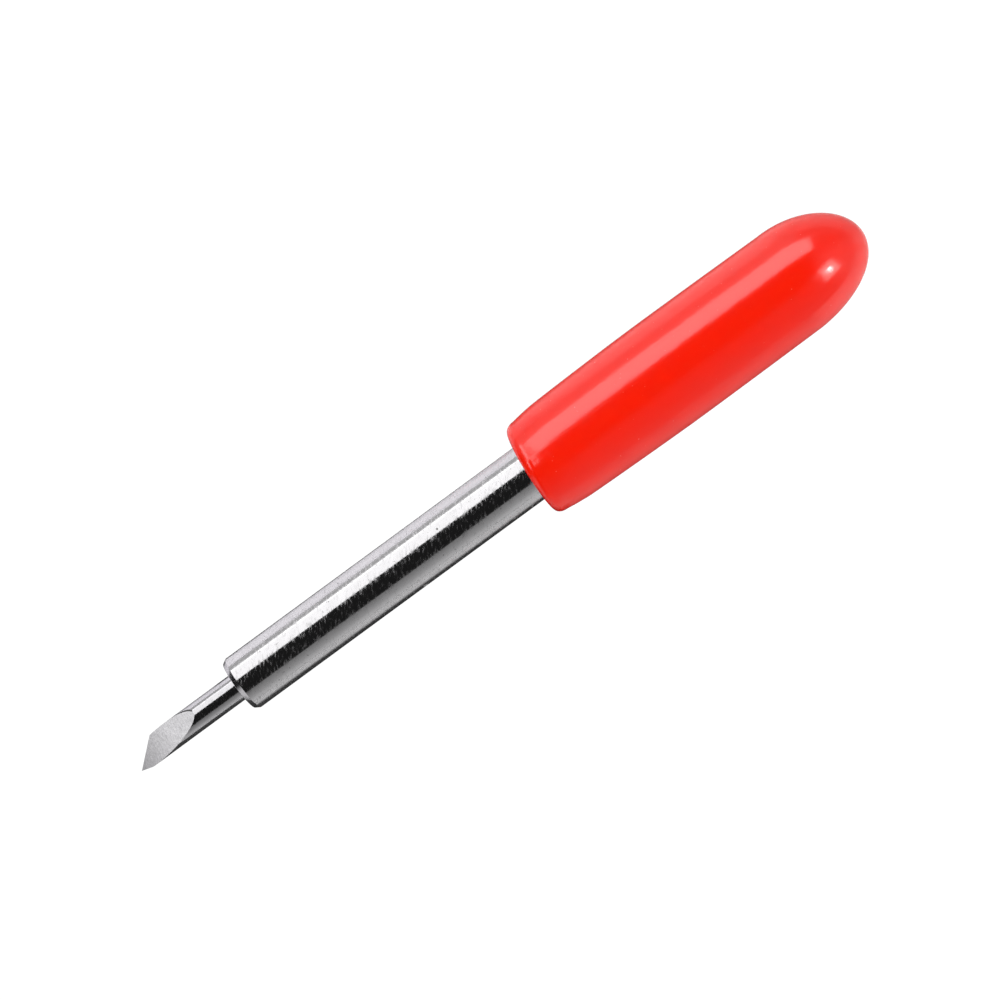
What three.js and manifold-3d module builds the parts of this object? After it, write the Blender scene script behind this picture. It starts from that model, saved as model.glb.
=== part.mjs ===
// Drag knife for a cutting plotter: a carbide blade set in a steel shank, with a push-on vinyl cap.
// Millimetres. The tool lies along X with its tip towards -X, and its cap rests on the plane z = 0.
import * as THREE from "three";
import { mergeVertices } from "three/addons/utils/BufferGeometryUtils.js";
import Module from "manifold-3d";

// Every x below is counted from the flat front face of the shank, towards the cap.

// Shank: a turned steel pin with a blind bore in front and a pivot cone behind.
const shankRadius = 1.0;
const shankLength = 20.6;
const frontChamferInset = 0.1;
const frontChamferLength = 0.17;
const pivotConeLength = 0.92;
const pivotNoseRadius = 0.12;
const boreRadius = 0.51;
const boreDepth = 4.9;
const drillPointDepth = 0.3;

// Blade: a carbide rod with one long ground facet, a relief that leaves a slanted cutting edge, and a
// heel relief on the other side of the tip. Edge and heel angles are counted in the facet, off its fall line.
const rodRadius = 0.488;
const bladeReach = 4.38;
const bladeHeldLength = 4.8;
const rodTailChamfer = 0.08;
const facetStart = 1.726;
const facetSlope = THREE.MathUtils.degToRad(16.6);
const facetRoll = THREE.MathUtils.degToRad(20.2);
const tipAcross = 0.283;
const edgeAngle = THREE.MathUtils.degToRad(38.5);
const edgeWedgeAngle = THREE.MathUtils.degToRad(38);
const heelAngle = THREE.MathUtils.degToRad(-20.4);
const heelWedgeAngle = THREE.MathUtils.degToRad(55);

// Cap: a dipped vinyl sleeve with a domed end, cut off slightly askew at its rim.
const capRimX = 12.175;
const capLength = 13.64;
const capDomeLength = 2.98;
const capRimRadius = 1.48;
const capRimRound = 0.35;
const capNeckRadius = 1.7;
const capFlareRadius = 1.766;
const capWaistRadius = 1.811;
const capBodyRadius = 1.871;
const capShoulderRadius = 1.85;
const capBoreRadius = 1.03;
const capBoreDepth = 12.55;
const capRimSlant = 0.072;
const capSlantFade = 4;

// Faceting of the round surfaces.
const aroundSegments = 48;
const roundSteps = 5;
const bodySteps = 12;
const domeSteps = 14;

// Stock bigger than the blade, used to grind a flat on it.
const grindStock = 12;

const wasm = await Module();
wasm.setup();

function steelMaterial() {
  return new THREE.MeshStandardMaterial({ color: 0xc9c8cc, roughness: 0.22, metalness: 1 });
}

function carbideMaterial() {
  return new THREE.MeshStandardMaterial({ color: 0xb4b2b6, roughness: 0.35, metalness: 1 });
}

function vinylMaterial() {
  return new THREE.MeshStandardMaterial({ color: 0xe4210f, roughness: 0.28, metalness: 0 });
}

// Points on a quarter of an ellipse, from angle 0 to 90 degrees or back, without its first point.
function quarterRound(centreR, centreX, spanR, spanX, startAngle, steps) {
  const points = [];
  for (let i = 1; i <= steps; i += 1) {
    const angle = startAngle + (i / steps) * (Math.PI / 2);
    const r = centreR + spanR * Math.cos(angle);
    const x = centreX + spanX * Math.sin(angle);
    points.push(new THREE.Vector2(Math.max(r, 0), x));
  }
  return points;
}

// Turns a profile of (radius, x) points about the X axis.
function turned(profile) {
  const geometry = new THREE.LatheGeometry(profile, aroundSegments);
  geometry.rotateZ(-Math.PI / 2);
  return geometry;
}

function shankGeometry() {
  const coneStart = shankLength - pivotConeLength;
  const profile = [
    new THREE.Vector2(0, boreDepth + drillPointDepth),
    new THREE.Vector2(boreRadius, boreDepth),
    new THREE.Vector2(boreRadius, 0),
    new THREE.Vector2(shankRadius - frontChamferInset, 0),
    new THREE.Vector2(shankRadius, frontChamferLength),
    new THREE.Vector2(shankRadius, coneStart),
    new THREE.Vector2(pivotNoseRadius, shankLength - pivotNoseRadius),
    ...quarterRound(0, shankLength - pivotNoseRadius, pivotNoseRadius, pivotNoseRadius, 0, roundSteps),
  ];
  return turned(profile);
}

// The outside of the cap from just behind its rounded rim to where the dome starts.
function capBodyPoints() {
  const domeStart = capLength - capDomeLength;
  const body = new THREE.SplineCurve([
    new THREE.Vector2(capNeckRadius, capRimRound),
    new THREE.Vector2(capFlareRadius, 0.88),
    new THREE.Vector2(capWaistRadius, 1.7),
    new THREE.Vector2(capBodyRadius, 4.9),
    new THREE.Vector2(capBodyRadius, 7.4),
    new THREE.Vector2(capShoulderRadius, domeStart),
  ]);
  return body.getPoints(bodySteps);
}

function capGeometry() {
  const domeStart = capLength - capDomeLength;
  const rimSpan = capNeckRadius - capRimRadius;
  const boreEndStart = capBoreDepth - capBoreRadius;
  const boreEnd = quarterRound(0, boreEndStart, capBoreRadius, capBoreRadius, 0, domeSteps / 2).reverse();
  const profile = [
    ...boreEnd,
    new THREE.Vector2(capBoreRadius, boreEndStart),
    new THREE.Vector2(capBoreRadius, 0),
    new THREE.Vector2(capRimRadius, 0),
    ...quarterRound(capRimRadius, capRimRound, rimSpan, capRimRound, -Math.PI / 2, roundSteps).slice(0, -1),
    ...capBodyPoints(),
    ...quarterRound(0, domeStart, capShoulderRadius, capDomeLength, 0, domeSteps),
  ];
  const geometry = turned(profile);
  slantRim(geometry);
  return geometry;
}

// Leans the rim back towards +Y; the lean fades out along the cap.
function slantRim(geometry) {
  const position = geometry.attributes.position;
  for (let i = 0; i < position.count; i += 1) {
    const x = position.getX(i);
    const fade = Math.max(0, 1 - x / capSlantFade);
    position.setX(i, x + capRimSlant * position.getY(i) * fade);
  }
}

function toManifold(geometry) {
  const bare = geometry.index ? geometry.clone() : geometry;
  bare.deleteAttribute("normal");
  bare.deleteAttribute("uv");
  const merged = mergeVertices(bare, 1e-5);
  const vertProperties = new Float32Array(merged.attributes.position.array);
  const triVerts = new Uint32Array(merged.index.array);
  return new wasm.Manifold(new wasm.Mesh({ numProp: 3, vertProperties, triVerts }));
}

function fromManifold(solid) {
  const mesh = solid.getMesh();
  const geometry = new THREE.BufferGeometry();
  geometry.setAttribute("position", new THREE.BufferAttribute(mesh.vertProperties, 3));
  geometry.setIndex(new THREE.BufferAttribute(mesh.triVerts, 1));
  geometry.computeVertexNormals();
  return geometry;
}

// Everything on the outward side of the plane through a point.
function stockBeyond(point, outward) {
  const box = new THREE.BoxGeometry(grindStock, grindStock, grindStock);
  box.translate(0, 0, grindStock / 2);
  box.applyQuaternion(new THREE.Quaternion().setFromUnitVectors(new THREE.Vector3(0, 0, 1), outward));
  box.translate(point.x, point.y, point.z);
  return toManifold(box);
}

function rodGeometry() {
  const profile = [
    new THREE.Vector2(0, -bladeReach - rodRadius),
    new THREE.Vector2(rodRadius, -bladeReach - rodRadius),
    new THREE.Vector2(rodRadius, bladeHeldLength - rodTailChamfer),
    new THREE.Vector2(rodRadius - rodTailChamfer, bladeHeldLength),
    new THREE.Vector2(0, bladeHeldLength),
  ];
  return turned(profile);
}

// The facet is a plane that sinks towards the tip; facetRoll turns it about the axis, from +Z to +Y.
function facetPlane() {
  const up = new THREE.Vector3(0, Math.sin(facetRoll), Math.cos(facetRoll));
  const side = new THREE.Vector3(0, Math.cos(facetRoll), -Math.sin(facetRoll));
  const start = new THREE.Vector3(-facetStart, 0, 0).addScaledVector(up, rodRadius);
  const outward = new THREE.Vector3(-Math.sin(facetSlope), 0, 0).addScaledVector(up, Math.cos(facetSlope));
  const downhill = new THREE.Vector3(-Math.cos(facetSlope), 0, 0).addScaledVector(up, -Math.sin(facetSlope));
  return { up, side, start, outward, downhill };
}

// The tip lies in the facet, at full reach, towards the side that the cutting edge slants away from.
function tipPoint(facet) {
  const height = rodRadius - (bladeReach - facetStart) * Math.tan(facetSlope);
  return new THREE.Vector3(-bladeReach, 0, 0)
    .addScaledVector(facet.up, height)
    .addScaledVector(facet.side, -tipAcross);
}

// A relief meets the facet along an edge that runs back from the tip, at a wedge angle to the facet.
function reliefNormal(facet, angle, wedge) {
  const edge = facet.downhill.clone().multiplyScalar(-Math.cos(angle));
  edge.addScaledVector(facet.side, Math.sin(angle));
  const inward = new THREE.Vector3().crossVectors(edge, facet.outward);
  if (inward.x < 0) {
    inward.negate();
  }
  const outward = inward.multiplyScalar(-Math.sin(wedge));
  return outward.addScaledVector(facet.outward, -Math.cos(wedge)).normalize();
}

function bladeGeometry() {
  const facet = facetPlane();
  const tip = tipPoint(facet);
  const ground = toManifold(rodGeometry())
    .subtract(stockBeyond(facet.start, facet.outward))
    .subtract(stockBeyond(tip, reliefNormal(facet, edgeAngle, edgeWedgeAngle)))
    .subtract(stockBeyond(tip, reliefNormal(facet, heelAngle, heelWedgeAngle)));
  return fromManifold(ground);
}

function namedMesh(name, geometry, material) {
  const mesh = new THREE.Mesh(geometry, material);
  mesh.name = name;
  return mesh;
}

function dragKnife() {
  const shank = namedMesh("shank", shankGeometry(), steelMaterial());
  const blade = namedMesh("carbide_blade", bladeGeometry(), carbideMaterial());
  const cap = namedMesh("cap", capGeometry(), vinylMaterial());
  cap.position.x = capRimX;

  // The origin is on the resting plane, under the middle of the tool.
  const tool = new THREE.Group();
  tool.add(shank, blade, cap);
  const extent = new THREE.Box3().setFromObject(tool);
  tool.position.set(-(extent.min.x + extent.max.x) / 2, 0, -extent.min.z);

  const object = new THREE.Group();
  object.add(tool);
  object.updateMatrixWorld(true);
  return object;
}

export default dragKnife();
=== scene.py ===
"""Drag knife of a cutting plotter, with a dipped vinyl cap, on a white table under softboxes."""
import math

import bmesh
import bpy
from mathutils import Matrix, Vector


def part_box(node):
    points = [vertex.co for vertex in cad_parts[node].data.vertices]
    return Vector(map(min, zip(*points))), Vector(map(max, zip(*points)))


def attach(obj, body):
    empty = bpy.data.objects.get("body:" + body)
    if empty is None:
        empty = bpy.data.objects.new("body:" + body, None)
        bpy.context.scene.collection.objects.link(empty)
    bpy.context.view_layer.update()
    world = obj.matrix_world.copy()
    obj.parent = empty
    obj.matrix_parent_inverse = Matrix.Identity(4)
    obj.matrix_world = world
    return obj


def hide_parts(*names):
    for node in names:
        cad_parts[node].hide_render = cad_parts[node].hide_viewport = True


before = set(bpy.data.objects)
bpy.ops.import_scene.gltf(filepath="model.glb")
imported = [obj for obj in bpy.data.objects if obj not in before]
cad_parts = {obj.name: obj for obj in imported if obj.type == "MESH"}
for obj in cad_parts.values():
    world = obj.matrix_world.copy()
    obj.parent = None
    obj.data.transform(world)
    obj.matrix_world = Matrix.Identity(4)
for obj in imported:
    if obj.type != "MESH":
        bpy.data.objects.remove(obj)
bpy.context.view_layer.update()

MM = 0.001

# ---------------------------------------------------------------- places from the frame
shank_lo, shank_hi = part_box("shank")
blade_lo, blade_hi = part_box("carbide_blade")
cap_lo, cap_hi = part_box("cap")

AXIS = Vector((0.0, (shank_lo[1] + shank_hi[1]) / 2, (shank_lo[2] + shank_hi[2]) / 2))
SHANK_FRONT = shank_lo[0]
SHANK_BACK = shank_hi[0]
SHANK_RADIUS = (shank_hi[2] - shank_lo[2]) / 2
BLADE_RADIUS = (blade_hi[1] - blade_lo[1]) / 2
BLADE_REACH = SHANK_FRONT - blade_lo[0]
BLADE_BACK = blade_hi[0]
CAP_RADIUS = (cap_hi[1] - cap_lo[1]) / 2
CAP_END = cap_hi[0]

# ---------------------------------------------------------------- driving dimensions
# Shank: a chamfered front edge, a bore for the blade and a cone with a small round nose at the tail.
EDGE_INSET = 0.10 * MM
EDGE_LENGTH = 0.17 * MM
EDGE_BREAK = 0.012 * MM
BARREL_START = SHANK_FRONT + 4 * EDGE_LENGTH
CONE_LENGTH = 0.92 * MM
NOSE_RADIUS = 0.12 * MM
BORE_GAP = 0.008 * MM
BORE_DEPTH = 4.9 * MM
DRILL_POINT = 0.3 * MM

# Blade: a long facet, a cutting edge and a heel. Edge and heel angles are counted in the facet.
FACET_START = 1.726 * MM
FACET_SLOPE = math.radians(16.6)
FACET_ROLL = math.radians(20.2)
TIP_ACROSS = 0.283 * MM
EDGE_ANGLE = math.radians(38.5)
EDGE_WEDGE = math.radians(38)
HEEL_ANGLE = math.radians(-20.4)
HEEL_WEDGE = math.radians(55)
TAIL_CHAMFER = 0.08 * MM

# Painted dark reflection on the far side of the facet: a row of dark spots that shrink towards the tip.
PAINTED_REFLECTION_SPOTS = 15
PAINTED_REFLECTION_START = 1.75 * MM
PAINTED_REFLECTION_STEP = 0.045 * MM
PAINTED_REFLECTION_RADIUS = 0.058 * MM
PAINTED_REFLECTION_SHRINK = 0.0014 * MM
PAINTED_REFLECTION_OFFSET = math.radians(4)
PAINTED_REFLECTION_GREY = 0.12

# A nick beside the lower outline and a tick in the bright band: (place, radius, grey).
SHANK_MARKS = (
    ((SHANK_FRONT + 7.1 * MM, AXIS.y - 0.97 * MM, AXIS.z + 0.2 * MM), 0.13 * MM, 0.95),
    ((SHANK_FRONT + 8.6 * MM, AXIS.y + 0.32 * MM, AXIS.z + 0.95 * MM), 0.05 * MM, 0.45),
)

# Cap: a dipped sleeve with a rounded rim and a domed end; x is counted from the rim.
CAP_LENGTH = 13.64 * MM
CAP_RIM = CAP_END - CAP_LENGTH
CAP_DOME = 2.98 * MM
CAP_RIM_RADIUS = 1.48 * MM
CAP_RIM_ROUND = 0.35 * MM
CAP_NECK_RADIUS = 1.70 * MM
CAP_FLARE = (0.88 * MM, 1.766 * MM)
CAP_WAIST = (1.7 * MM, 1.811 * MM)
CAP_BODY_START = 4.9 * MM
CAP_BODY_STOP = 7.4 * MM
CAP_BODY_RADIUS = CAP_RADIUS - 0.004 * MM
CAP_SHOULDER_RADIUS = 1.85 * MM
CAP_BORE_GAP = 0.01 * MM
CAP_BORE_DEPTH = 12.55 * MM
RIM_SLANT = 0.072
SLANT_FADE = 4.0 * MM
NOSE_DROOP = 0.02 * MM
SHOULDER_LIFT = 0.032 * MM

# ---------------------------------------------------------------- fineness of the meshes
AROUND = 192
AROUND_FINE = 256
CORNER_STEPS = 4
NOSE_STEPS = 10
BARREL_STEPS = 24
RIM_STEPS = 14
BODY_STEPS = 12
DOME_STEPS = 40
BORE_STEPS = 16

# An edge that turns more than this stays sharp.
SHARP_EDGE = math.radians(35)
BLADE_SHARP_EDGE = math.radians(20)

# A point nearer to the axis than ON_AXIS metres is on it, and points nearer than WELD metres are one.
ON_AXIS = 1e-9
WELD = 1e-8

# The least cosine between two normals of one plane, the X of a normal that faces the tip, and how many
# bore radii from the axis the cap's outside is.
SAME_PLANE = 0.999
FACING_TIP = -0.2
OUTSIDE_BORE = 1.1


# ---------------------------------------------------------------- mesh helpers
def arc(centre, span, start, stop, steps):
    """Points (x, r) along an ellipse arc from angle start to stop; angle 0 points outward along r."""
    points = []
    for i in range(steps + 1):
        angle = start + (stop - start) * i / steps
        points.append((centre[0] + span[0] * math.sin(angle), centre[1] + span[1] * math.cos(angle)))
    return points


def spline(points, steps):
    """Catmull-Rom curve through (x, r) points."""
    ends = [points[0], *points, points[-1]]
    out = [points[0]]
    for i in range(1, len(ends) - 2):
        p0, p1, p2, p3 = (Vector(p) for p in ends[i - 1:i + 3])
        for k in range(1, steps + 1):
            t = k / steps
            v = 0.5 * (2 * p1 + (p2 - p0) * t + (2 * p0 - 5 * p1 + 4 * p2 - p3) * t * t
                       + (3 * p1 - p0 - 3 * p2 + p3) * t ** 3)
            out.append((v.x, v.y))
    return out


def broken_corners(points, size):
    """The same outline with each inner corner rounded by about size."""
    out = [points[0]]
    for before, corner, after in zip(points, points[1:], points[2:]):
        here = Vector(corner)
        start = here + (Vector(before) - here).normalized() * size
        stop = here + (Vector(after) - here).normalized() * size
        for k in range(CORNER_STEPS + 1):
            t = k / CORNER_STEPS
            v = start * (1 - t) ** 2 + here * 2 * t * (1 - t) + stop * t * t
            out.append((v.x, v.y))
    return out + [points[-1]]


def turned(profile, around=AROUND):
    """A closed solid of revolution about the tool's axis; its (x, r) profile starts and ends on the axis."""
    bm = bmesh.new()
    rings = []
    for x, r in profile:
        if r < ON_AXIS:
            rings.append([bm.verts.new((x, AXIS.y, AXIS.z))])
            continue
        ring = []
        for i in range(around):
            angle = 2 * math.pi * i / around
            ring.append(bm.verts.new((x, AXIS.y + r * math.sin(angle), AXIS.z + r * math.cos(angle))))
        rings.append(ring)
    for a, b in zip(rings, rings[1:]):
        for i in range(around):
            j = (i + 1) % around
            corners = [a[i % len(a)], a[j % len(a)], b[j % len(b)], b[i % len(b)]]
            face = [v for k, v in enumerate(corners) if v not in corners[:k]]
            bm.faces.new(face)
    bmesh.ops.recalc_face_normals(bm, faces=bm.faces)
    return bm


def finish_piece(name, bm, body, node, sharp=SHARP_EDGE):
    """Turns a bmesh into a smooth-shaded object that replaces its CAD node and rides on that body."""
    for edge in bm.edges:
        slots = {face.material_index for face in edge.link_faces}
        edge.smooth = len(slots) == 1 and edge.calc_face_angle(0) < sharp
    for face in bm.faces:
        face.smooth = True
    mesh = bpy.data.meshes.new(name)
    bm.to_mesh(mesh)
    bm.free()
    piece = bpy.data.objects.new(name, mesh)
    bpy.context.scene.collection.objects.link(piece)
    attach(piece, body)
    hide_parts(node)
    return piece


# ---------------------------------------------------------------- node helpers
# The ranges that most values, and nearly all values, of a noise fall in.
NOISE_MIDDLE = (0.3, 0.7)
NOISE_SPAN = (0.2, 0.8)


def grey(level):
    """A colour with equal parts."""
    return (level, level, level)


class Tree:
    """A node tree, with shorthands for the nodes that the materials and the room are made of."""

    def __init__(self, owner):
        self.nodes = owner.node_tree.nodes
        self.links = owner.node_tree.links

    def feed(self, socket, value):
        """Links another socket to this one, or sets it to a number or a colour."""
        if isinstance(value, bpy.types.NodeSocket):
            self.links.new(value, socket)
        elif socket.type == "RGBA":
            socket.default_value = (*value, 1.0)
        else:
            socket.default_value = value

    def axes(self, output="Object"):
        """The X, Y and Z of one of the texture coordinates."""
        coords = self.nodes.new("ShaderNodeTexCoord")
        split = self.nodes.new("ShaderNodeSeparateXYZ")
        self.links.new(coords.outputs[output], split.inputs[0])
        return split.outputs["X"], split.outputs["Y"], split.outputs["Z"]

    def millimetres(self, stretch=(1, 1, 1), lean=0.0):
        """Object coordinates in millimetres, from the tool's axis, turned by lean about Z and stretched."""
        coords = self.nodes.new("ShaderNodeTexCoord")
        mapping = self.nodes.new("ShaderNodeMapping")
        mapping.vector_type = "TEXTURE"
        mapping.inputs["Location"].default_value = AXIS
        mapping.inputs["Rotation"].default_value = (0, 0, lean)
        mapping.inputs["Scale"].default_value = [MM / s for s in stretch]
        self.links.new(coords.outputs["Object"], mapping.inputs["Vector"])
        return mapping.outputs["Vector"]

    def noise(self, vector, scale, detail=3.0, rough=0.55):
        """Noise with about that many lumps to a unit of vector."""
        node = self.nodes.new("ShaderNodeTexNoise")
        node.inputs["Scale"].default_value = scale
        node.inputs["Detail"].default_value = detail
        node.inputs["Roughness"].default_value = rough
        self.links.new(vector, node.inputs["Vector"])
        return node.outputs["Fac"]

    def remap(self, value, low, high, out_low=0.0, out_high=1.0):
        """The range low to high stretched to out_low to out_high, and held there beyond it."""
        node = self.nodes.new("ShaderNodeMapRange")
        node.inputs["From Min"].default_value = low
        node.inputs["From Max"].default_value = high
        node.inputs["To Min"].default_value = out_low
        node.inputs["To Max"].default_value = out_high
        self.links.new(value, node.inputs["Value"])
        return node.outputs["Result"]

    def blend_colour(self, factor, first, second):
        """The first colour at factor 0, the second at 1."""
        node = self.nodes.new("ShaderNodeMix")
        node.data_type = "RGBA"
        self.feed(node.inputs[6], first)
        self.feed(node.inputs[7], second)
        self.links.new(factor, node.inputs[0])
        return node.outputs[2]

    def blend_value(self, factor, first, second):
        """The first value at factor 0, the second at 1."""
        node = self.nodes.new("ShaderNodeMix")
        self.feed(node.inputs[2], first)
        self.feed(node.inputs[3], second)
        self.links.new(factor, node.inputs[0])
        return node.outputs[0]

    def bump(self, height, distance, normal=None):
        """A normal that shows height as a relief of that distance, on top of another normal if given."""
        node = self.nodes.new("ShaderNodeBump")
        node.inputs["Strength"].default_value = 1.0
        node.inputs["Distance"].default_value = distance
        self.links.new(height, node.inputs["Height"])
        if normal is not None:
            self.links.new(normal, node.inputs["Normal"])
        return node.outputs["Normal"]

    def spot(self, place, radius, soft=0.5):
        """1 within radius of a place in object space, falling to 0 over the soft share of the radius."""
        coords = self.nodes.new("ShaderNodeTexCoord")
        gap = self.nodes.new("ShaderNodeVectorMath")
        gap.operation = "DISTANCE"
        gap.inputs[1].default_value = place
        self.links.new(coords.outputs["Object"], gap.inputs[0])
        return self.remap(gap.outputs["Value"], radius * (1 - soft), radius, 1.0, 0.0)


def new_material(name):
    """A material, its tree and its shader."""
    material = bpy.data.materials.new(name)
    material.use_nodes = True
    return material, Tree(material), material.node_tree.nodes["Principled BSDF"]


# ---------------------------------------------------------------- materials
# Grinding marks run round the tool and lean by GRIND_LEAN: their noises are stretched in Y and Z.
GRIND_LEAN = math.radians(-32)
STREAK_STRETCH = (1, 0.12, 0.12)
CLOUD_STRETCH = (1, 0.35, 0.35)
FLECK_STRETCH = (1, 0.3, 0.3)

# Ground metal. Plain counts are noise scales, per millimetre; an edge is where a mask sets in and is full.
SHANK_TINT = (0.745, 0.735, 0.748)
SHANK_STREAKS = 16.0
SHANK_DULL = 0.38
ROD_TINT = (0.67, 0.66, 0.68)
ROD_STREAKS = 26.0
ROD_DULL = 0.30
POLISHED = 0.085
MARK_DULL = 0.7
CLOUDS_PER_STREAK = 0.22
FLECK_ROUGH = 0.6
PITS = 9.0
FLECK_EDGE = (0.52, 0.72)
GLOSS_EDGE = (0.48, 0.70)
PIT_EDGE = (0.67, 0.74)
CLOUD_SHADE = 0.93
FLECK_SHADE = 0.86
PIT_SHADE = 0.5
FLECK_RELIEF = 0.0012 * MM
STREAK_RELIEF = 0.0006 * MM

# The chamfer and front face: darker and duller metal than the barrel.
FRONT_EDGE_DARK = (0.48, 0.47, 0.49)
FRONT_EDGE_PALE = (0.60, 0.59, 0.61)
TURNED_MARKS = 22.0
TURNED_GLOSS = (0.12, 0.20)
TURNED_RELIEF = 0.001 * MM

# The blade's ground flats, with painted shade that darkens them towards the tip.
SATIN_PAINTED_SHADE_AT_TIP = (0.30, 0.293, 0.304)
SATIN = (0.70, 0.69, 0.71)
SATIN_PAINTED_SHADE_REACH = 1.6 * MM
SATIN_CLOUD = (0.44, 0.435, 0.445)
SATIN_LINE = (0.42, 0.415, 0.425)
SATIN_CLOUDS = 4.0
SATIN_CLOUD_SHARE = 0.25
SATIN_LINES = 26.0
SATIN_LINE_EDGE = (0.35, 0.7)
SATIN_LINE_SHARE = 0.3
SATIN_GLOSS = (0.24, 0.42)
SATIN_RELIEF = 0.002 * MM

# Vinyl.
VINYL_RED = (0.83, 0.0122, 0.002)
VINYL_DEEP_RED = (0.80, 0.0113, 0.002)
VINYL_DUST = (0.95, 0.35, 0.30)
VINYL_CLOUDS = 1.1
VINYL_PEEL = 3.2
VINYL_SPECKS = 11.0
VINYL_SPECK_EDGE = (0.77, 0.82)
VINYL_SPECK_SHARE = 0.35
VINYL_GLOSS = (0.14, 0.19)
VINYL_RELIEF = 0.004 * MM
VINYL_IOR = 1.57
VINYL_DEPTH_SHARE = 0.35
VINYL_DEPTH = 1.2 * MM
VINYL_DEPTH_BY_COLOUR = (1.0, 0.10, 0.04)


def shaded(tint, share):
    """The tint darkened to that share."""
    return [c * share for c in tint]


def ground_steel(name, tint, streaks, dull, marks=()):
    """Ground and polished metal: streaks round the axis, flecks of uneven gloss, pits and given marks.

    streaks is the number of streaks in a millimetre, dull the roughness of the dullest fleck, and a
    mark is (place, radius, grey). The rod's marks are spots of painted dark reflection.
    """
    material, tree, shader = new_material(name)
    shader.inputs["Metallic"].default_value = 1.0
    fine = tree.noise(tree.millimetres(STREAK_STRETCH, GRIND_LEAN), streaks)
    clouds = tree.noise(tree.millimetres(CLOUD_STRETCH, GRIND_LEAN), streaks * CLOUDS_PER_STREAK)
    flecks = tree.noise(tree.millimetres(FLECK_STRETCH, GRIND_LEAN), streaks, rough=FLECK_ROUGH)
    pits = tree.noise(tree.millimetres(), PITS, detail=2.0)
    base = tree.blend_colour(tree.remap(clouds, *NOISE_MIDDLE), tint, shaded(tint, CLOUD_SHADE))
    base = tree.blend_colour(tree.remap(flecks, *FLECK_EDGE), base, shaded(tint, FLECK_SHADE))
    base = tree.blend_colour(tree.remap(pits, *PIT_EDGE), base, shaded(tint, PIT_SHADE))
    gloss = tree.remap(flecks, *GLOSS_EDGE, POLISHED, dull)
    for place, radius, level in marks:
        mask = tree.spot(place, radius)
        base = tree.blend_colour(mask, base, grey(level))
        gloss = tree.blend_value(mask, gloss, MARK_DULL)
    tree.feed(shader.inputs["Base Color"], base)
    tree.feed(shader.inputs["Roughness"], gloss)
    relief = tree.bump(flecks, FLECK_RELIEF)
    tree.feed(shader.inputs["Normal"], tree.bump(fine, STREAK_RELIEF, relief))
    return material


def front_edge_steel(name):
    """The chamfer and front face: darker and duller than the barrel."""
    material, tree, shader = new_material(name)
    shader.inputs["Metallic"].default_value = 1.0
    marks = tree.noise(tree.millimetres(), TURNED_MARKS)
    shade = tree.remap(marks, *NOISE_MIDDLE)
    tree.feed(shader.inputs["Base Color"], tree.blend_colour(shade, FRONT_EDGE_DARK, FRONT_EDGE_PALE))
    tree.feed(shader.inputs["Roughness"], tree.remap(marks, *NOISE_SPAN, *TURNED_GLOSS))
    tree.feed(shader.inputs["Normal"], tree.bump(marks, TURNED_RELIEF))
    return material


def facet_carbide(name):
    """Diamond-ground carbide: satin, with fine parallel grinding lines, and painted shade that darkens it
    towards the tip.
    """
    material, tree, shader = new_material(name)
    shader.inputs["Metallic"].default_value = 1.0
    x, _, _ = tree.axes()
    tip = SHANK_FRONT - BLADE_REACH
    lines = tree.noise(tree.millimetres(FLECK_STRETCH), SATIN_LINES)
    clouds = tree.noise(tree.millimetres(), SATIN_CLOUDS)
    # Painted shade: the satin darkens towards the tip.
    base = tree.blend_colour(tree.remap(x, tip, tip + SATIN_PAINTED_SHADE_REACH), SATIN_PAINTED_SHADE_AT_TIP, SATIN)
    cloud_mask = tree.remap(clouds, *NOISE_MIDDLE, 0.0, SATIN_CLOUD_SHARE)
    line_mask = tree.remap(lines, *SATIN_LINE_EDGE, 0.0, SATIN_LINE_SHARE)
    base = tree.blend_colour(cloud_mask, base, SATIN_CLOUD)
    base = tree.blend_colour(line_mask, base, SATIN_LINE)
    tree.feed(shader.inputs["Base Color"], base)
    tree.feed(shader.inputs["Roughness"], tree.remap(lines, *NOISE_SPAN, *SATIN_GLOSS))
    tree.feed(shader.inputs["Normal"], tree.bump(lines, SATIN_RELIEF))
    return material


def dipped_vinyl(name):
    """Glossy soft PVC: even red, a faint orange peel, and a few specks of dust in the skin."""
    material, tree, shader = new_material(name)
    clouds = tree.noise(tree.millimetres(), VINYL_CLOUDS)
    peel = tree.noise(tree.millimetres(), VINYL_PEEL, detail=2.0)
    specks = tree.noise(tree.millimetres(), VINYL_SPECKS, detail=1.0)
    speck_mask = tree.remap(specks, *VINYL_SPECK_EDGE, 0.0, VINYL_SPECK_SHARE)
    red = tree.blend_colour(tree.remap(clouds, *NOISE_MIDDLE), VINYL_RED, VINYL_DEEP_RED)
    tree.feed(shader.inputs["Base Color"], tree.blend_colour(speck_mask, red, VINYL_DUST))
    shader.inputs["IOR"].default_value = VINYL_IOR
    shader.inputs["Subsurface Weight"].default_value = VINYL_DEPTH_SHARE
    shader.inputs["Subsurface Radius"].default_value = VINYL_DEPTH_BY_COLOUR
    shader.inputs["Subsurface Scale"].default_value = VINYL_DEPTH
    tree.feed(shader.inputs["Roughness"], tree.remap(clouds, *NOISE_MIDDLE, *VINYL_GLOSS))
    tree.feed(shader.inputs["Normal"], tree.bump(peel, VINYL_RELIEF))
    return material


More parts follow.
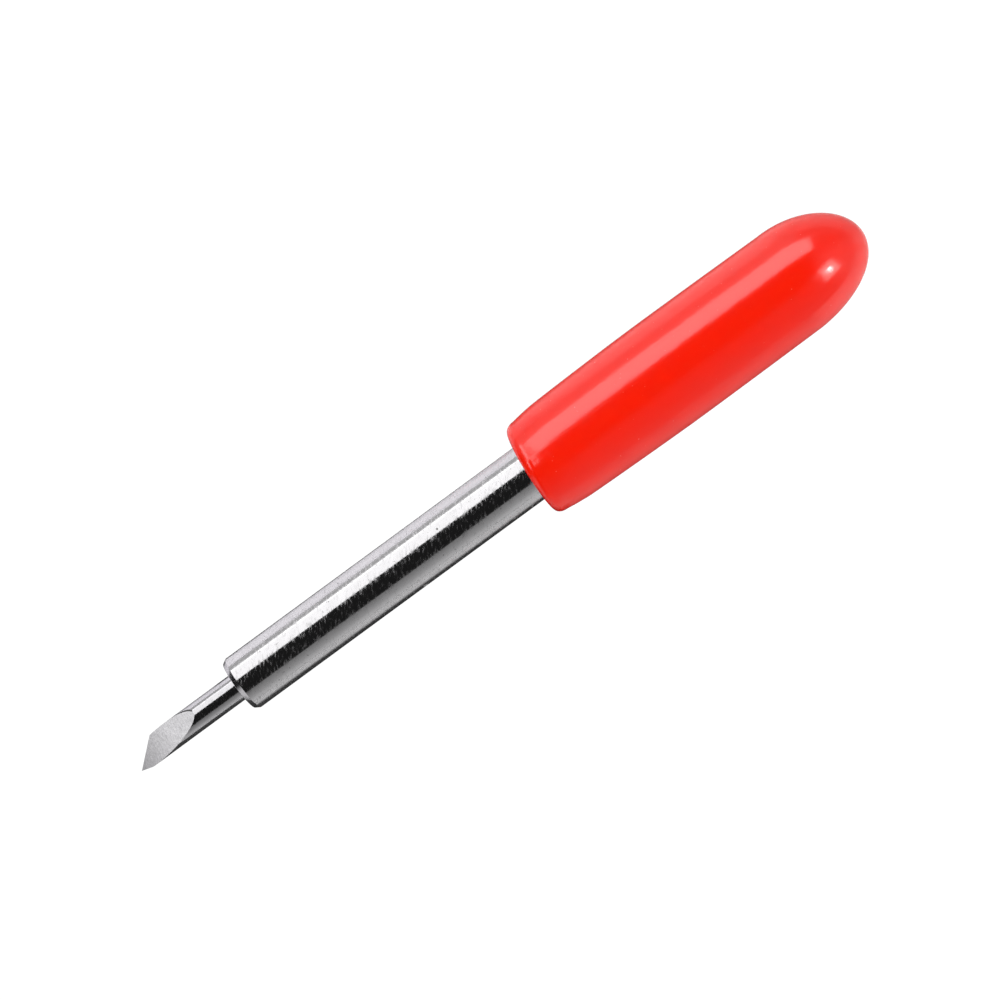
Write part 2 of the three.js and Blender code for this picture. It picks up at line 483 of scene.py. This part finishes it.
# ---------------------------------------------------------------- pieces
def make_shank():
    """The ground pin, with its turned front in a material of its own."""
    bore = BLADE_RADIUS + BORE_GAP
    edge = broken_corners([
        (SHANK_FRONT, bore),
        (SHANK_FRONT, SHANK_RADIUS - EDGE_INSET),
        (SHANK_FRONT + EDGE_LENGTH, SHANK_RADIUS),
        (BARREL_START, SHANK_RADIUS),
    ], EDGE_BREAK)
    barrel_length = SHANK_BACK - CONE_LENGTH - BARREL_START
    barrel = [
        (BARREL_START + barrel_length * i / BARREL_STEPS, SHANK_RADIUS) for i in range(1, BARREL_STEPS + 1)
    ]
    nose_centre = (SHANK_BACK - NOSE_RADIUS, 0)
    nose = arc(nose_centre, (NOSE_RADIUS, NOSE_RADIUS), math.pi / 4, math.pi / 2, NOSE_STEPS)
    bm = turned([
        (SHANK_FRONT + BORE_DEPTH + DRILL_POINT, 0),
        (SHANK_FRONT + BORE_DEPTH, bore),
        *edge,
        *barrel,
        *nose[:-1],
        (SHANK_BACK, 0),
    ])
    for face in bm.faces:
        in_front = face.calc_center_median().x < SHANK_FRONT + EDGE_LENGTH
        if in_front and face.normal.x < FACING_TIP:
            face.material_index = 1
    piece = finish_piece("polished_shank", bm, "knife", "shank")
    piece.data.materials.append(
        ground_steel("shank_steel", SHANK_TINT, SHANK_STREAKS, SHANK_DULL, SHANK_MARKS))
    piece.data.materials.append(front_edge_steel("front_edge_metal"))
    return piece


def facet_frame():
    """The facet's roll direction and the one across it, its outward normal and its fall line."""
    up = Vector((0, math.sin(FACET_ROLL), math.cos(FACET_ROLL)))
    side = Vector((0, math.cos(FACET_ROLL), -math.sin(FACET_ROLL)))
    along = Vector((-1, 0, 0))
    normal = along * math.sin(FACET_SLOPE) + up * math.cos(FACET_SLOPE)
    downhill = along * math.cos(FACET_SLOPE) - up * math.sin(FACET_SLOPE)
    return up, side, normal, downhill


def painted_reflection_marks(front):
    """Spots of painted dark reflection, along the line where the facet meets the rod on the far side."""
    marks = []
    for k in range(PAINTED_REFLECTION_SPOTS):
        reach = PAINTED_REFLECTION_START + PAINTED_REFLECTION_STEP * k
        sunk = (reach - FACET_START) * math.tan(FACET_SLOPE)
        turn = FACET_ROLL + math.acos(1 - sunk / BLADE_RADIUS) + PAINTED_REFLECTION_OFFSET
        place = front + Vector((-reach, BLADE_RADIUS * math.sin(turn), BLADE_RADIUS * math.cos(turn)))
        marks.append((place, PAINTED_REFLECTION_RADIUS - PAINTED_REFLECTION_SHRINK * k, PAINTED_REFLECTION_GREY))
    return marks


def make_blade():
    """A rod cut by the facet's plane and by a relief plane for the edge and one for the heel."""
    up, side, normal, downhill = facet_frame()
    front = Vector((SHANK_FRONT, AXIS.y, AXIS.z))
    start = front + Vector((-FACET_START, 0, 0)) + up * BLADE_RADIUS
    height = BLADE_RADIUS - (BLADE_REACH - FACET_START) * math.tan(FACET_SLOPE)
    tip = front + Vector((-BLADE_REACH, 0, 0)) + up * height - side * TIP_ACROSS
    flats = [(start, normal)]
    for angle, wedge in ((EDGE_ANGLE, EDGE_WEDGE), (HEEL_ANGLE, HEEL_WEDGE)):
        edge = -downhill * math.cos(angle) + side * math.sin(angle)
        inward = edge.cross(normal)
        if inward.x < 0:
            inward.negate()
        flats.append((tip, -inward * math.sin(wedge) - normal * math.cos(wedge)))

    bm = turned([
        (tip.x - BLADE_RADIUS, 0),
        (tip.x - BLADE_RADIUS, BLADE_RADIUS),
        (BLADE_BACK - TAIL_CHAMFER, BLADE_RADIUS),
        (BLADE_BACK, BLADE_RADIUS - TAIL_CHAMFER),
        (BLADE_BACK, 0),
    ], AROUND_FINE)
    for point, outward in flats:
        everything = bm.verts[:] + bm.edges[:] + bm.faces[:]
        bmesh.ops.bisect_plane(bm, geom=everything, plane_co=point, plane_no=outward, clear_outer=True)
        open_edges = [e for e in bm.edges if e.is_boundary]
        bmesh.ops.holes_fill(bm, edges=open_edges, sides=0)
    bmesh.ops.remove_doubles(bm, verts=bm.verts, dist=WELD)
    bmesh.ops.recalc_face_normals(bm, faces=bm.faces)
    for face in bm.faces:
        if any(face.normal.dot(outward) > SAME_PLANE for _, outward in flats):
            face.material_index = 1
    piece = finish_piece("ground_blade", bm, "knife", "carbide_blade", BLADE_SHARP_EDGE)
    # The rod's marks are spots of painted dark reflection beside the facet.
    piece.data.materials.append(
        ground_steel("rod_carbide", ROD_TINT, ROD_STREAKS, ROD_DULL, painted_reflection_marks(front)))
    piece.data.materials.append(facet_carbide("facet_carbide"))
    return piece


def cap_outline():
    """The outside of the cap as (x, r) points, from its rim at x = 0 to the end of its dome."""
    dome_start = CAP_LENGTH - CAP_DOME
    rim_span = (CAP_RIM_ROUND, CAP_NECK_RADIUS - CAP_RIM_RADIUS)
    rim = arc((CAP_RIM_ROUND, CAP_RIM_RADIUS), rim_span, -math.pi / 2, 0, RIM_STEPS)
    body = spline([
        (CAP_RIM_ROUND, CAP_NECK_RADIUS),
        CAP_FLARE,
        CAP_WAIST,
        (CAP_BODY_START, CAP_BODY_RADIUS),
        (CAP_BODY_STOP, CAP_BODY_RADIUS),
        (dome_start, CAP_SHOULDER_RADIUS),
    ], BODY_STEPS)
    dome = arc((dome_start, 0), (CAP_DOME, CAP_SHOULDER_RADIUS), 0, math.pi / 2, DOME_STEPS)
    return rim + body[1:] + dome[1:-1] + [(CAP_LENGTH, 0)]


def make_cap():
    """The turned sleeve, its rim slanted and its dome's outside a little uneven."""
    bore = SHANK_RADIUS + CAP_BORE_GAP
    bore_end = CAP_BORE_DEPTH - bore
    end = arc((bore_end, 0), (bore, bore), math.pi / 2, 0, BORE_STEPS)
    end[0] = (CAP_BORE_DEPTH, 0)
    wall = [(bore_end * (1 - i / BORE_STEPS), bore) for i in range(1, BORE_STEPS + 1)]
    bm = turned([(CAP_RIM + x, r) for x, r in end + wall + cap_outline()], AROUND_FINE)
    for v in bm.verts:
        x = v.co.x - CAP_RIM
        y = v.co.y - AXIS.y
        outside = x > CAP_BORE_DEPTH or math.hypot(y, v.co.z - AXIS.z) > OUTSIDE_BORE * bore
        # How far into the dome a point of the outside lies, from 0 to 1. The bore stays straight.
        nose = max(0.0, (x - CAP_LENGTH + CAP_DOME) / CAP_DOME) if outside else 0.0
        v.co.x += RIM_SLANT * y * max(0.0, 1 - x / SLANT_FADE)
        v.co.y += 4 * SHOULDER_LIFT * nose * (1 - nose) - NOSE_DROOP * nose ** 2
    piece = finish_piece("vinyl_cap", bm, "cap", "cap")
    piece.data.materials.append(dipped_vinyl("cap_vinyl"))
    return piece


# ---------------------------------------------------------------- camera
VIEW_TILT = math.radians(7.0)
VIEW_ROLL = math.radians(36.26)
LENS = 500.0
SENSOR = 36.0
FRAME_WIDTH = 33.25 * MM
TARGET = Vector((0.037 * MM, AXIS.y - 0.145 * MM, AXIS.z))
CLIP_START = 0.1
CLIP_END = 20.0


def make_camera():
    """Looks down from far off, from a little towards the cap, rolled so that the tip is at the lower left."""
    toward = Vector((math.sin(VIEW_TILT), 0, math.cos(VIEW_TILT)))
    along = Vector((math.cos(VIEW_TILT), 0, -math.sin(VIEW_TILT)))
    across = Vector((0, 1, 0))
    right = along * math.cos(VIEW_ROLL) - across * math.sin(VIEW_ROLL)
    up = along * math.sin(VIEW_ROLL) + across * math.cos(VIEW_ROLL)
    data = bpy.data.cameras.new("camera")
    data.lens = LENS
    data.sensor_width = SENSOR
    distance = FRAME_WIDTH * LENS / SENSOR
    data.clip_start = distance * CLIP_START
    data.clip_end = distance * CLIP_END
    camera = bpy.data.objects.new("camera", data)
    rotation = Matrix((right, up, toward)).transposed().to_4x4()
    camera.matrix_world = Matrix.Translation(TARGET + toward * distance) @ rotation
    bpy.context.scene.collection.objects.link(camera)
    bpy.context.scene.camera = camera


# ---------------------------------------------------------------- lights
# A softbox is (start, stop, front, back, radiance). It spans start to stop off the zenith, positive on the
# far side, and front to back along the tool, in degrees as seen from the tool's middle.
SOFTBOX_DISTANCE = 0.3
SOFTBOX_ON_METAL = (23.5, 70, -48, 32, 1.30)
NEAR_CARD = (-88, -38, -48, 32, 0.18)
SOFTBOX = (30.2, 65.5, -22, 33.5, 3.25)
SOFTBOX_LIP = (25, 30.2, -22, -10.5, 2.4)
SOFTBOX_SKIRT = (65.5, 88, -22, 20, 0.38)
SOFTBOX_SPILL = (29.3, 65.5, -48, -22, 3.5)
SOFTBOX_CORNER = (8, 30.2, -36, -22, 2.9)

# A lamp has a direction from the tool's middle, and a distance and a size in metres.
FILL_DIRECTION = Vector((0.1, -0.8, 0.6))
FILL_DISTANCE = 0.5
FILL_SIZE = (0.5, 0.5)
FILL_RADIANCE = 1.95
LAMP_DIRECTION = Vector((0.565, -0.50, 0.665))
LAMP_DISTANCE = 0.3
LAMP_SIZE = (0.012, 0.044)
LAMP_RADIANCE = 58.0
HALO_DISTANCE = 0.31
HALO_SIZE = (0.105, 0.17)
HALO_RADIANCE = 3.1


def area_light(name, place, aim, size, radiance, only=None, diffuse_only=False):
    """A rectangular light of that radiance, at a place counted from the tool's middle, shining along -aim.

    only is the collection that it lights. A diffuse_only light doesn't show in reflections.
    """
    data = bpy.data.lights.new(name, "AREA")
    data.shape = "RECTANGLE"
    data.size, data.size_y = size
    data.energy = radiance * math.pi * size[0] * size[1]
    z = aim.normalized()
    x = (Vector((1, 0, 0)) - z * z.x).normalized()
    y = z.cross(x)
    lamp = bpy.data.objects.new(name, data)
    rotation = Matrix((x, y, z)).transposed().to_4x4()
    lamp.matrix_world = Matrix.Translation(AXIS + place) @ rotation
    lamp.visible_camera = False
    lamp.visible_glossy = not diffuse_only
    if only is not None:
        lamp.light_linking.receiver_collection = only
    bpy.context.scene.collection.objects.link(lamp)


def softbox(name, box, only, diffuse_only=False):
    """An area light that spans the angles of a box and lights only that collection."""
    start, stop, front, back, radiance = box
    middle = math.radians(start + stop) / 2
    aim = Vector((0, math.sin(middle), math.cos(middle)))
    x_front = SOFTBOX_DISTANCE * math.tan(math.radians(front))
    x_back = SOFTBOX_DISTANCE * math.tan(math.radians(back))
    size = (x_back - x_front, 2 * SOFTBOX_DISTANCE * math.tan(math.radians(stop - start) / 2))
    place = aim * SOFTBOX_DISTANCE + Vector(((x_front + x_back) / 2, 0, 0))
    area_light(name, place, aim, size, radiance, only, diffuse_only)


def collection_of(name, objects):
    """A collection for light linking."""
    group = bpy.data.collections.new(name)
    for thing in objects:
        group.objects.link(thing)
    return group


def make_lights(metal, other):
    """A far softbox, weaker on the metal than on the cap, a near card, a soft fill and a small lamp."""
    softbox("softbox_on_metal", SOFTBOX_ON_METAL, metal)
    softbox("near_card", NEAR_CARD, metal)
    softbox("softbox", SOFTBOX, other)
    softbox("softbox_lip", SOFTBOX_LIP, other)
    softbox("softbox_skirt", SOFTBOX_SKIRT, other)
    softbox("softbox_spill", SOFTBOX_SPILL, other, diffuse_only=True)
    softbox("softbox_corner", SOFTBOX_CORNER, other)
    fill = FILL_DIRECTION
    area_light("near_fill", fill * FILL_DISTANCE, fill, FILL_SIZE, FILL_RADIANCE, diffuse_only=True)
    lamp = LAMP_DIRECTION
    area_light("small_lamp", lamp * LAMP_DISTANCE, lamp, LAMP_SIZE, LAMP_RADIANCE, other)
    area_light("lamp_halo", lamp * HALO_DISTANCE, lamp, HALO_SIZE, HALO_RADIANCE, other)


# ---------------------------------------------------------------- room
# The room's grey by direction: (angle off the zenith in degrees, positive on the far side; grey).
ROOM_GREYS = (
    (-180, 0.4), (-96, 0.40), (-85, 0.35), (-75, 0.27), (-68, 0.19), (-48, 0.07), (-39, 0.03),
    (-31.5, 0.012), (20, 0.012),
    (62, 0.05), (69, 0.75), (79, 0.42), (86, 0.55), (92, 0.66), (180, 0.66),
)

# End walls, by the X and Y of a direction: a wall sets in and is full at two X, and turns from its first
# grey to its second between two Y.
TIP_WALL = (-0.68, -0.80)
TIP_WALL_SIDES = (-0.25, 0.02)
TIP_WALL_GREYS = (grey(0.85), grey(0.02))
CAP_WALL = (0.35, 0.60)
CAP_WALL_SHARE = 0.75
CAP_WALL_SIDES = (-0.1, 0.3)
CAP_WALL_GREYS = (grey(0.8), grey(0.42))


def make_world():
    """A dim room: dark overhead, grey on the near side, pale low on the far side, with two end walls."""
    world = bpy.data.worlds.new("room")
    bpy.context.scene.world = world
    world.use_nodes = True
    tree = Tree(world)
    x, y, z = tree.axes("Generated")
    angle = tree.nodes.new("ShaderNodeMath")
    angle.operation = "ARCTAN2"
    tree.feed(angle.inputs[0], y)
    tree.feed(angle.inputs[1], z)
    ramp = tree.nodes.new("ShaderNodeValToRGB")
    elements = ramp.color_ramp.elements
    elements.remove(elements[1])
    for i, (degrees, level) in enumerate(ROOM_GREYS):
        element = elements[0] if i == 0 else elements.new(degrees / 360 + 0.5)
        element.position = degrees / 360 + 0.5
        element.color = (*grey(level), 1)
    tree.feed(ramp.inputs[0], tree.remap(angle.outputs[0], -math.pi, math.pi))
    tip_wall = tree.blend_colour(tree.remap(y, *TIP_WALL_SIDES), *TIP_WALL_GREYS)
    cap_wall = tree.blend_colour(tree.remap(y, *CAP_WALL_SIDES), *CAP_WALL_GREYS)
    room = tree.blend_colour(tree.remap(x, *TIP_WALL), ramp.outputs[0], tip_wall)
    room = tree.blend_colour(tree.remap(x, *CAP_WALL, 0.0, CAP_WALL_SHARE), room, cap_wall)
    background = tree.nodes["Background"]
    tree.feed(background.inputs["Color"], room)
    background.inputs["Strength"].default_value = 1.0


# ---------------------------------------------------------------- table
TABLE_REACH = 1.2
TABLE_GLOW = 1.16
TABLE_GLOW_SHARE = 0.9

# The table's colours are painted light and shade that the tool reflects: painted shade on the near side and
# at the far corner past the tip, painted light beside the cap, and painted shadow beside the tool.
TABLE_NEAR_PAINTED_SHADE = grey(0.48)
TABLE_BESIDE_SHANK = (0.83, 0.815, 0.845)
TABLE_FARTHER_OUT = (0.73, 0.715, 0.745)
TABLE_PAINTED_LIGHT_BESIDE_CAP = grey(0.96)
TABLE_FAR_CORNER_PAINTED_SHADE = grey(0.04)
# The grey of the painted shadow beside the tool.
TABLE_PAINTED_SHADOW = grey(0.05)
TABLE_PAST_DOME = (grey(0.95), grey(0.6))

# Where one colour of the table turns into the next, across Y and along X, in millimetres. What lies
# before the shank or the cap is counted back from its front, and the dome's reach from the cap's end.
MIDDLE_Y = (-1.0, 1.0)
FARTHER_OUT_Y = (5.0, 14.0)
FAR_CORNER_Y = (7.0, 10.0)
FAR_CORNER_X = (-18.0, -21.0)
BEFORE_SHANK = (0.9, 0.7)
BEFORE_CAP = 0.2
DOME_REACH = 4.0
DOME_SHARE = 0.8

# Painted shadow in strips beside the tool: (y where the strip begins, y where it is darkest, how dark), in
# mm.
NEAR_PAINTED_SHADOW_OF_ROD = (-8.0, -6.0, 1.0)
NEAR_PAINTED_SHADOW_OF_SHANK = (-4.6, -2.9, 1.0)
NEAR_PAINTED_SHADOW_OF_CAP = (-4.2, -2.3, 0.8)
FAR_PAINTED_SHADOW_OF_ROD = (1.9, 1.4, 0.4)
FAR_PAINTED_SHADOW_OF_SHANK = (1.9, 1.4, 0.9)
FAR_PAINTED_SHADOW_OF_CAP = (3.9, 3.2, 0.8)


def table_colour_and_painted_shade(tree):
    """Painted light and shade for the tool to reflect: pale on the far side, grey painted shade on the near
    side, and painted shadow in strips beside the tool.
    """
    x, y, _ = tree.axes()

    def across(start, stop, most=1.0):
        return tree.remap(y, start * MM, stop * MM, 0.0, most)

    def along(start, stop, most=1.0):
        return tree.remap(x, start, stop, 0.0, most)

    def by_piece(rod, shank, cap):
        front = tree.blend_value(past_front, across(*rod), across(*shank))
        return tree.blend_value(past_rim, front, across(*cap))

    far_side = across(*MIDDLE_Y)
    past_front = along(*[SHANK_FRONT - gap * MM for gap in BEFORE_SHANK])
    past_rim = along(CAP_RIM - BEFORE_CAP * MM, CAP_RIM)
    past_dome = along(CAP_END - DOME_REACH * MM, CAP_END, DOME_SHARE)
    before_tip = along(*[place * MM for place in FAR_CORNER_X])

    beside_shank = tree.blend_colour(across(*FARTHER_OUT_Y), TABLE_BESIDE_SHANK, TABLE_FARTHER_OUT)
    # Painted light: the far side paler beside the cap, for the cap to reflect.
    far = tree.blend_colour(past_rim, beside_shank, TABLE_PAINTED_LIGHT_BESIDE_CAP)
    # Painted shade: a dark patch at the far corner past the tip.
    far_corner_shade = tree.blend_colour(before_tip, far, TABLE_FAR_CORNER_PAINTED_SHADE)
    far = tree.blend_colour(across(*FAR_CORNER_Y), far, far_corner_shade)
    # Painted shade: the near side greyer than the far side.
    colour = tree.blend_colour(far_side, TABLE_NEAR_PAINTED_SHADE, far)
    # Painted shadow in strips beside the tool, on the near and the far side.
    near_painted_shadow = by_piece(NEAR_PAINTED_SHADOW_OF_ROD, NEAR_PAINTED_SHADOW_OF_SHANK, NEAR_PAINTED_SHADOW_OF_CAP)
    far_painted_shadow = by_piece(FAR_PAINTED_SHADOW_OF_ROD, FAR_PAINTED_SHADOW_OF_SHANK, FAR_PAINTED_SHADOW_OF_CAP)
    painted_shadow = tree.blend_value(far_side, near_painted_shadow, far_painted_shadow)
    colour = tree.blend_colour(painted_shadow, colour, TABLE_PAINTED_SHADOW)
    # Past the dome, paler on the far side and greyer on the near side: painted light and shade for the dome
    # to reflect.
    return tree.blend_colour(past_dome, colour, tree.blend_colour(far_side, *TABLE_PAST_DOME))


def table_white(name):
    """Matt paint that the camera sees nearly white, whatever falls on it."""
    material, tree, shader = new_material(name)
    tree.feed(shader.inputs["Base Color"], table_colour_and_painted_shade(tree))
    shader.inputs["Roughness"].default_value = 0.9
    shader.inputs["Specular IOR Level"].default_value = 0.1
    glow = tree.nodes.new("ShaderNodeEmission")
    glow.inputs["Strength"].default_value = TABLE_GLOW
    rays = tree.nodes.new("ShaderNodeLightPath")
    share = tree.nodes.new("ShaderNodeMath")
    share.operation = "MULTIPLY"
    share.inputs[1].default_value = TABLE_GLOW_SHARE
    mixer = tree.nodes.new("ShaderNodeMixShader")
    tree.feed(share.inputs[0], rays.outputs["Is Camera Ray"])
    tree.feed(mixer.inputs[0], share.outputs[0])
    tree.feed(mixer.inputs[1], shader.outputs[0])
    tree.feed(mixer.inputs[2], glow.outputs[0])
    tree.feed(tree.nodes["Material Output"].inputs["Surface"], mixer.outputs[0])
    return material


def make_table():
    """A plane under the resting tool: it touches the shank's front edge and the cap."""
    foot_x = SHANK_FRONT + EDGE_LENGTH
    foot_z = AXIS.z - SHANK_RADIUS
    slope = max((r - SHANK_RADIUS) / (CAP_RIM + x - foot_x) for x, r in cap_outline())
    corners = []
    for side_x, side_y in ((-1, -1), (1, -1), (1, 1), (-1, 1)):
        x = side_x * TABLE_REACH
        corners.append((x, side_y * TABLE_REACH, foot_z - slope * (x - foot_x)))
    mesh = bpy.data.meshes.new("table")
    mesh.from_pydata(corners, [], [(0, 1, 2, 3)])
    table = bpy.data.objects.new("table", mesh)
    bpy.context.scene.collection.objects.link(table)
    table.data.materials.append(table_white("table_white"))
    return table


# ---------------------------------------------------------------- the whole
make_camera()
shank = make_shank()
blade = make_blade()
cap = make_cap()
make_world()
table = make_table()
make_lights(collection_of("metal", (shank, blade)), collection_of("other", (cap, table)))
bpy.context.scene.view_settings.view_transform = "Standard"
